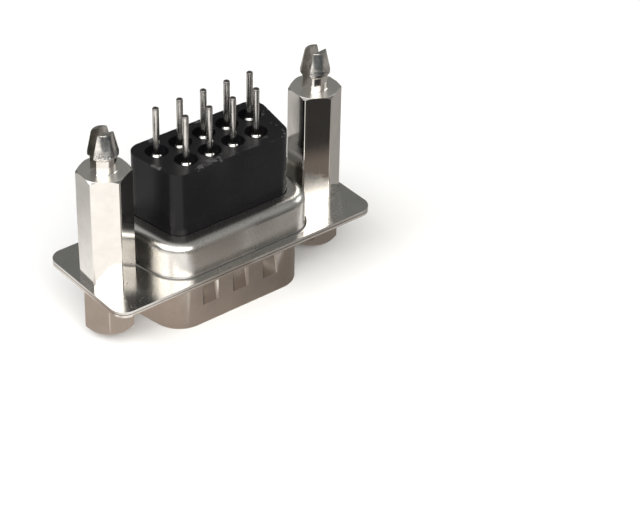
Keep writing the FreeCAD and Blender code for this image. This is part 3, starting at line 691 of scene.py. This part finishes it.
def makeFrontInsulator():
    form = frontInsulator
    bm = bmesh.new()
    spots = [(form["noseRound"] * (math.sin(angle) - 1),
              form["face"] + form["noseRound"] * (1 - math.cos(angle)))
             for angle in quarterTurn(form["noseSteps"])]
    rings = outlinesFrom(bm, form, spots + [(0, form["noseTop"])])
    loft(bm, rings)
    cap(bm, rings[-1])
    mouths = roundPockets(bm, form["recess"], form["face"], form["recessFloor"], form["bore"],
                          form["boreEnd"])
    fillBetween(bm, rings[0] + mouths, down)
    foot, base = form["plateFoot"], form["noseTop"]
    plate = [newOutline(bm, form["plateWidth"] - 2 * inset, form["plateHeight"] - 2 * inset,
                        form["plateCorner"] - inset, level)
             for inset, level in ((foot, base), (0, base + foot), (0, form["plateTop"]))]
    loft(bm, plate)
    cap(bm, plate[0])
    cap(bm, plate[-1])
    faceOutwards(bm)
    shown(bm, "frontInsulator", "front_insulator", [greyMoulding], [softEdges(form)])


numerals = {"size": 1.15, "rise": 0.03, "shift": -1.25, "weld": 1e-4}  # shift is from the pin along X


def makeNumbers():
    # plain contact numbers 1 to 9 beside the pins, read from the mating side
    form = numerals
    bm = bmesh.new()
    level = frontInsulator["face"] - form["rise"] / 2
    for number, (x, y) in enumerate(contactPlaces, start=1):
        text = bpy.data.curves.new("number", "FONT")
        text.body = str(number)
        text.size = form["size"]
        text.extrude = form["rise"] / 2
        text.align_x = "CENTER"
        text.align_y = "CENTER"
        mesh = evaluated(placed("number", text))
        spot = Vector((x + form["shift"], y, level))
        mesh.transform(Matrix.Translation(spot) @ Matrix.Rotation(math.pi, 4, "Y"))
        bm.from_mesh(mesh)
        bpy.data.meshes.remove(mesh)
    bmesh.ops.remove_doubles(bm, verts=bm.verts, dist=form["weld"])
    faceOutwards(bm)
    shown(bm, "contactNumbers", None, [numberInk])


# Contacts: mating pin, collar between the mouldings, barrel and solder tail, all turned from one wire

contact = {
    "tip": 0.65, "nose": 0.33, "noseRound": 0.29, "noseSteps": 5, "taperEnd": 1.75, "pin": 0.51,
    "collar": 0.85, "collarStart": 7.92, "collarEnd": 8.52, "barrel": 0.55, "shoulder": 16.84,
    # how far the tail flares where it meets the floor of its well, and at which height round the shoulder
    "flare": [(0.23, -0.10), (0.22, -0.04), (0.18, 0.02), (0.12, 0.06), (0.07, 0.11), (0.03, 0.18),
              (0.0, 0.28)],
    "tail": 0.32, "end": 22.04, "endRound": 0.12, "endSteps": 4, "sharp": 40,
}


def makeContacts():
    form = contact
    nose = [(form["nose"] - form["noseRound"] * (1 - math.sin(angle)),
             form["tip"] + form["noseRound"] * (1 - math.cos(angle)))
            for angle in quarterTurn(form["noseSteps"])]
    end = [(form["tail"] - form["endRound"] * (1 - math.cos(angle)),
            form["end"] - form["endRound"] * (1 - math.sin(angle)))
           for angle in quarterTurn(form["endSteps"])]
    flare = [(form["tail"] + out, form["shoulder"] + rise) for out, rise in form["flare"]]
    profile = [(0, form["tip"])] + nose + [
        (form["pin"], form["taperEnd"]), (form["pin"], form["collarStart"]),
        (form["collar"], form["collarStart"]), (form["collar"], form["collarEnd"]),
        (form["barrel"], form["collarEnd"])] + flare + end + [(0, form["end"])]
    for number, at in enumerate(contactPlaces, start=1):
        bm = bmesh.new()
        turned(bm, profile, roundSteps["wire"], at, closed=False)
        faceOutwards(bm)
        shown(bm, f"contact{number}", f"contact_{number}", [contactPlating],
              sharp=form["sharp"])


# Hexagonal bars and screw threads, for the jack nuts and the standoffs

hexBar = {"corner": 0.3, "cornerSteps": 4, "overhang": 0.5}  # the overhang is cut off when the bar is turned
hexTurns = {"jackLeft": -3, "jackRight": 0, "standoffLeft": 28, "standoffRight": 29.5}  # degrees
thread = {
    "pitch": 0.635, "rootHalf": 0.46, "crestHalf": 0.06,  # halves of the ridge as shares of the pitch
    "sunk": 0.03, "runOut": 0.45, "steps": 24,
}


def hexagonRing(bm, flats, level, at, turn):
    # six rounded corners, each spun from one vertex, with straight flats between them
    rounding = hexBar["corner"]
    half = math.pi / 6  # half of the turn at a corner
    reach = (flats / 2 - rounding) / math.cos(half)
    before = set(bm.edges)
    ends = []
    for corner in range(6):
        heading = math.radians(turn + 60 * corner)
        centre = Vector((at[0] + reach * math.cos(heading), at[1] + reach * math.sin(heading), level))
        edge = Vector((math.cos(heading - half), math.sin(heading - half), 0))
        start = bm.verts.new(centre + rounding * edge)
        made = bmesh.ops.spin(bm, geom=[start], cent=centre, axis=up, angle=2 * half,
                              steps=hexBar["cornerSteps"])
        last = [item for item in made["geom_last"] if isinstance(item, bmesh.types.BMVert)][0]
        ends.append((start, last))
    for place, (start, last) in enumerate(ends):
        bm.edges.new((last, ends[(place + 1) % 6][0]))
    return [edge for edge in bm.edges if edge not in before]


def hexagonBar(flats, bottom, top, at, turn):
    bm = bmesh.new()
    rings = [hexagonRing(bm, flats, level, at, turn)
             for level in (bottom - hexBar["overhang"], top + hexBar["overhang"])]
    loft(bm, rings)
    for ring in rings:
        cap(bm, ring)
    faceOutwards(bm)
    return bm


def chamferDepth(form):
    # the turned chamfer is given at the hexagon's corners and goes on to the outside of the turned form
    corner = form["flats"] / math.sqrt(3)
    return form["chamfer"] * (form["outer"] - form["ring"]) / (corner - form["ring"])


def threadRidge(bm, at, base, crest, bottom, top):
    # one V-shaped ridge that climbs as a helix, its root sunk in the wall that carries it
    pitch = thread["pitch"]
    half = thread["rootHalf"] * pitch
    flat = thread["crestHalf"] * pitch
    spots = [(base, bottom - half), (crest, bottom - flat), (crest, bottom + flat), (base, bottom + half)]
    face = bm.faces.new([bm.verts.new((at[0] + radius, at[1], level)) for radius, level in spots])
    turns = (top - bottom) / pitch
    count = round(thread["steps"] * turns)
    bmesh.ops.spin(bm, geom=[face], cent=(at[0], at[1], 0), axis=up, angle=2 * math.pi * turns,
                   dvec=(0, 0, (top - bottom) / count), steps=count)


# Hexagonal jack nuts, tapped for the cable's screws, each in one piece with its threaded stud

nut = {
    "flats": 4.7, "base": 6.0, "end": 1.15, "ring": 2.28, "chamfer": 0.5, "outer": 3.2,
    "mouth": 1.6, "mouthDepth": 0.3, "threadMajor": 1.42, "threadCrest": 1.175, "boreEnd": 5.25,
    "drillRise": 0.706, "studRadius": 1.375, "studRoot": 1.18, "studEnd": 11.2, "studSunk": 0.02,
    "studPlain": 1.0, "studChamfer": 0.2, "edge": 0.05, "edgeSteps": 2, "edgeAngle": 30, "sharp": 24,
}


def makeJackNut(side, x):
    form = nut
    name = "jack" + side
    at = (x, 0)
    envelope = bmesh.new()
    turned(envelope, [
        (0, form["boreEnd"] + form["drillRise"]), (form["threadMajor"], form["boreEnd"]),
        (form["threadMajor"], form["end"] + form["mouthDepth"]),
        (form["mouth"], form["end"]), (form["ring"], form["end"]),
        (form["outer"], form["end"] + chamferDepth(form)),
        (form["outer"], form["base"]), (0, form["base"])], roundSteps["hexagon"], at)
    cutter = cutterFrom(envelope, "nutEnvelope")
    bar = hexagonBar(form["flats"], form["end"], form["base"], at, hexTurns[name])
    bm = toBmesh(applied(bar, name, [boolean(cutter, "INTERSECT"), softEdges(form)]))
    bpy.data.objects.remove(cutter)
    threadRidge(bm, at, form["threadMajor"] + thread["sunk"], form["threadCrest"],
                form["end"] + thread["runOut"], form["boreEnd"] - thread["runOut"])
    studFoot = form["base"] - form["studSunk"]
    turned(bm, [(0, studFoot), (form["studRoot"], studFoot),
                (form["studRoot"], form["studEnd"] - form["studChamfer"]),
                (form["studRoot"] - form["studChamfer"], form["studEnd"]),
                (0, form["studEnd"])], roundSteps["stud"], at, closed=False)
    threadRidge(bm, at, form["studRoot"] - thread["sunk"], form["studRadius"],
                form["base"] + form["studPlain"], form["studEnd"] - thread["runOut"])
    faceOutwards(bm)
    shown(bm, name, "jack_nut_" + side.lower(), [turnedNickel], sharp=form["sharp"])


# Standoffs, each turned in one piece with its split board lock

standoff = {
    "flats": 4.7, "base": 6.64, "seat": 18.64, "ring": 2.4, "chamfer": 0.24, "outer": 3.2,
    "hole": 1.415, "holeEnd": 12.0, "holeTip": 12.85, "neck": 1.25, "neckRound": 0.08,
    "shoulder": 20.14, "land": 20.39, "landEnd": 20.69, "barb": 1.475, "tip": 1.05, "tipTaper": 0.01,
    "end": 22.84, "endRound": 0.15, "endBulge": 0.3, "slot": 1.2, "slotReach": 4.0, "slotOverrun": 1.0,
    "edge": 0.05, "edgeSteps": 2, "edgeAngle": 30, "sharp": 24,
}
slotTurns = {"standoffLeft": -4, "standoffRight": 7}  # degrees


def slotCutter(x, turn):
    form = standoff
    top = form["end"] + form["slotOverrun"]
    box = bmesh.new()
    bmesh.ops.create_cube(box, size=1)
    bmesh.ops.scale(box, vec=(form["slotReach"], form["slot"], top - form["seat"]), verts=box.verts)
    bmesh.ops.rotate(box, cent=(0, 0, 0), matrix=Matrix.Rotation(math.radians(turn), 3, "Z"), verts=box.verts)
    bmesh.ops.translate(box, vec=(x, 0, (top + form["seat"]) / 2), verts=box.verts)
    return cutterFrom(box, "slot")


def makeStandoff(side, x):
    form = standoff
    name = "standoff" + side
    at = (x, 0)
    tip, end, tipRound = form["tip"], form["end"], form["endRound"]
    bulge = form["endBulge"] * tipRound
    envelope = bmesh.new()
    turned(envelope, [
        (0, form["holeTip"]), (form["hole"], form["holeEnd"]), (form["hole"], form["base"]),
        (form["outer"], form["base"]), (form["outer"], form["seat"] - chamferDepth(form)),
        (form["ring"], form["seat"]), (form["neck"] + form["neckRound"], form["seat"]),
        (form["neck"], form["seat"] + form["neckRound"]), (form["neck"], form["shoulder"]),
        (form["barb"], form["land"]), (form["barb"], form["landEnd"]),
        (tip + form["tipTaper"], end - tipRound), (tip - bulge, end - bulge), (tip - tipRound, end),
        (0, end)], roundSteps["hexagon"], at)
    envelopeCutter = cutterFrom(envelope, "standoffEnvelope")
    slot = slotCutter(x, slotTurns[name])
    bar = hexagonBar(form["flats"], form["base"], end, at, hexTurns[name])
    bm = toBmesh(applied(bar, name, [boolean(envelopeCutter, "INTERSECT"), boolean(slot, "DIFFERENCE"),
                                     softEdges(form)]))
    bpy.data.objects.remove(slot)
    bpy.data.objects.remove(envelopeCutter)
    shown(bm, name, "standoff_" + side.lower(), [turnedNickel], sharp=form["sharp"])


makeFrontShell()
makeRearShell()
makeRearInsulator()
makeFrontInsulator()
makeNumbers()
makeContacts()
for makePair in (makeJackNut, makeStandoff):
    makePair("Left", -screwX)
    makePair("Right", screwX)
print("pieces made")


# Studio: pale floor, soft lights and the photograph's camera, in metres

studio = {
    "floorHalf": 1.2, "floorDrop": 0.00002, "floorColour": (0.86, 0.86, 0.855, 1),
    "skyHorizon": (0.30, 0.30, 0.30, 1), "skyZenith": (1.35, 1.35, 1.35, 1), "skyRise": (0.3, 0.95),
    "skyRight": (0.39, 0.40, 0.385, 1), "skyTurn": (-0.25, 0.3), "worldStrength": 0.6,
    "lights": [
        # name, spot, size, power, colour
        ("keyLeft", (-0.27, -0.38, 0.41), 0.46, 2.9, (1.0, 0.985, 0.96)),
        ("keyFront", (-0.03, -0.46, 0.31), 0.24, 0.9, (1.0, 0.99, 0.97)),
        ("leftSoft", (-0.42, 0.02, 0.33), 0.40, 1.9, (1.0, 1.0, 1.0)),
        ("rightFill", (0.42, -0.10, 0.22), 0.22, 0.4, (1.0, 0.99, 0.98)),
    ],
    "aim": (0, 0, 0.010),
}
floorShine = {
    # painted reflection of the floor for bright metal: pale to the left, greyer at the back and right, darker
    # and warm close by as painted shade, and dark where it ends far in front
    "half": 0.36, "level": 0.00005, "border": 0.05,
    "left": (1.5, 1.47, 1.43, 1), "back": (0.66, 0.65, 0.63, 1), "right": (0.42, 0.40, 0.38, 1),
    "backSpan": (0.004, 0.022), "rightSpan": (-0.008, 0.026),
    "front": (0.10, 0.115, 0.125, 1), "frontSpan": (-0.083, -0.093),
    "closeMiddle": (-0.003, -0.001), "closeHalf": (0.023, 0.0112), "closeBorder": (0.8, 1.25),
    "closeLeft": (0.56, 0.47, 0.41, 1), "closeRight": (0.24, 0.207, 0.184, 1), "closeSpan": (-0.011, 0.006),
}
underLight = {"size": (0.0135, 0.0068), "spot": (0, 0, 0.0001), "border": 0.0002, "colour": (4, 4, 4, 1)}
cardFade = (-0.24, -0.09)  # where a card changes from its foot's colour, as shares of its height
cardBorder = 0.0008
# glowing cards that paint reflections into the metal: the dark sides and top of a block standing in front,
# and dark, grey and pale patches of floor
cards = [
    # name, size, middle, tilt and turn in degrees, colour at its foot, colour above where it differs
    ("darkSide", (0.031, 0.014), (0.0135, -0.0205, 0.007), (90, 132.4),
     (0.22, 0.185, 0.16, 1), (0.045, 0.042, 0.040, 1)),
    ("darkEnd", (0.0163, 0.012), (-0.003, -0.0145, 0.006), (90, 222.5),
     (0.38, 0.345, 0.315, 1), (0.25, 0.225, 0.205, 1)),
    ("darkTop", (0.031, 0.0163), (0.0075, -0.026, 0.013), (0, -47.6),
     (0.06, 0.06, 0.06, 1), (0.10, 0.10, 0.105, 1)),
    ("darkFloor", (0.0030, 0.0131), (-0.0056, 0.0181, 0.0001), (0, 38), (0.02, 0.02, 0.02, 1)),
    ("greyFloor", (0.0125, 0.0064), (0.0128, -0.0152, 0.0001), (0, 0), (0.34, 0.315, 0.295, 1)),
    ("paleFloor", (0.0050, 0.0080), (-0.0170, -0.0072, 0.0001), (0, 0), (0.82, 0.73, 0.665, 1)),
]
camera = {
    "spot": (-0.1107791, -0.1514938, 0.1345641), "turn": (55.0557, -1.0834, -38.6445), "lens": 129.6825,
    "sensor": 36, "clip": (0.01, 10),
}


def flatSheet(name, size):
    bm = bmesh.new()
    bmesh.ops.create_grid(bm, x_segments=1, y_segments=1, size=0.5)
    bmesh.ops.scale(bm, vec=(size[0], size[1], 1), verts=bm.verts)
    return placed(name, meshFrom(bm, name))


def glossyCard(name, size, spot, turn, border, paint):
    # a glowing card that only reflections see, a painted reflection as of a studio's card beside bright
    # metal; it has no back
    card = flatSheet(name, size)
    card.location = spot
    card.rotation_euler = (math.radians(turn[0]), 0, math.radians(turn[1]))
    for ray in ("camera", "diffuse", "transmission", "volume_scatter", "shadow"):
        setattr(card, "visible_" + ray, False)
    material, tree, shader, place = startMaterial(name, {"Base Color": (0, 0, 0, 1), "Roughness": 1.0,
                                                         "Specular IOR Level": 0.0, "Emission Strength": 1.0})
    parts = axesOf(tree, place)
    behind = addNode(tree, "ShaderNodeNewGeometry").outputs["Backfacing"]
    alpha = maths(tree, "SUBTRACT", 1.0, behind)
    for axis, reach in (("X", size[0] / 2), ("Y", size[1] / 2)):
        away = maths(tree, "ABSOLUTE", parts[axis])
        alpha = maths(tree, "MULTIPLY", alpha, spread(tree, away, reach - border, reach, 1.0, 0.0))
    tree.links.new(alpha, shader.inputs["Alpha"])
    feed(tree, paint(tree, parts), shader.inputs["Emission Color"])
    card.data.materials.append(material)
    return card


def shineColour(tree, parts):
    form = floorShine
    colour = mixColours(tree, spread(tree, parts["Y"], *form["backSpan"]), form["left"], form["back"])
    colour = mixColours(tree, spread(tree, parts["X"], *form["rightSpan"]), colour, form["right"])
    colour = mixColours(tree, spread(tree, parts["Y"], *form["frontSpan"]), colour, form["front"])
    # close by, the reflected floor carries painted shade from the connector
    reach = 0.0
    for axis, middle, half in zip("XY", form["closeMiddle"], form["closeHalf"]):
        away = maths(tree, "DIVIDE", maths(tree, "SUBTRACT", parts[axis], middle), half)
        reach = raised(tree, reach, away, away)
    isClose = spread(tree, reach, *form["closeBorder"], 1.0, 0.0)
    close = mixColours(tree, spread(tree, parts["X"], *form["closeSpan"]),
                       form["closeLeft"], form["closeRight"])
    return mixColours(tree, isClose, colour, close)


def makeFloorShine():
    form = floorShine
    size = (2 * form["half"], 2 * form["half"])
    glossyCard("floorShine", size, (0, 0, form["level"]), (0, 0), form["border"], shineColour)


def makeUnderLight():
    # a pale card inside the rim lights the mating side for views from below; the skirt hides it from above
    form = underLight
    card = glossyCard("underLight", form["size"], form["spot"], (0, 0), form["border"],
                      lambda tree, parts: form["colour"])
    card.visible_diffuse = True


def makeCard(name, size, spot, turn, foot, above=None):
    def paint(tree, parts):
        if above is None:
            return foot
        height = spread(tree, parts["Y"], cardFade[0] * size[1], cardFade[1] * size[1])
        return mixColours(tree, height, foot, above)

    glossyCard(name, size, spot, turn, cardBorder, paint)


def makeFloor():
    floor = flatSheet("floor", (2 * studio["floorHalf"], 2 * studio["floorHalf"]))
    floor.location = (0, 0, -studio["floorDrop"])
    material, tree, shader = startMaterial("floorPaint", {
        "Base Color": studio["floorColour"], "Roughness": 0.9, "Specular IOR Level": 0.1})[:3]
    # the floor is seen from above only, so that the mating side can be looked at from below
    below = addNode(tree, "ShaderNodeNewGeometry").outputs["Backfacing"]
    tree.links.new(maths(tree, "SUBTRACT", 1.0, below), shader.inputs["Alpha"])
    floor.data.materials.append(material)


def makeLights():
    for name, spot, size, power, colour in studio["lights"]:
        lamp = bpy.data.lights.new(name, "AREA")
        lamp.shape = "SQUARE"
        lamp.size = size
        lamp.energy = power
        lamp.color = colour
        holder = placed(name, lamp)
        holder.location = spot
        direction = Vector(studio["aim"]) - Vector(spot)
        holder.rotation_euler = direction.to_track_quat("-Z", "Y").to_euler()


def makeWorld():
    world = bpy.data.worlds.new("studioWorld")
    world.use_nodes = True
    tree = world.node_tree
    back = tree.nodes["Background"]
    back.inputs["Strength"].default_value = studio["worldStrength"]
    parts = axesOf(tree, addNode(tree, "ShaderNodeTexCoord").outputs["Generated"])
    colour = mixColours(tree, spread(tree, parts["Z"], *studio["skyRise"]),
                        studio["skyHorizon"], studio["skyZenith"])
    colour = mixColours(tree, spread(tree, parts["X"], *studio["skyTurn"]), colour, studio["skyRight"])
    tree.links.new(colour, back.inputs["Color"])
    bpy.context.scene.world = world


def makeCamera():
    lens = bpy.data.cameras.new("photoCamera")
    lens.lens = camera["lens"]
    lens.sensor_width = camera["sensor"]
    lens.sensor_fit = "HORIZONTAL"
    lens.clip_start, lens.clip_end = camera["clip"]
    holder = placed("photoCamera", lens)
    holder.location = camera["spot"]
    holder.rotation_euler = Euler([math.radians(angle) for angle in camera["turn"]])
    bpy.context.scene.camera = holder


makeFloor()
makeFloorShine()
makeUnderLight()
for card in cards:
    makeCard(*card)
makeLights()
makeWorld()
makeCamera()
bpy.context.scene.view_settings.view_transform = "Standard"
print("studio ready")

bpy.context.view_layer.update()
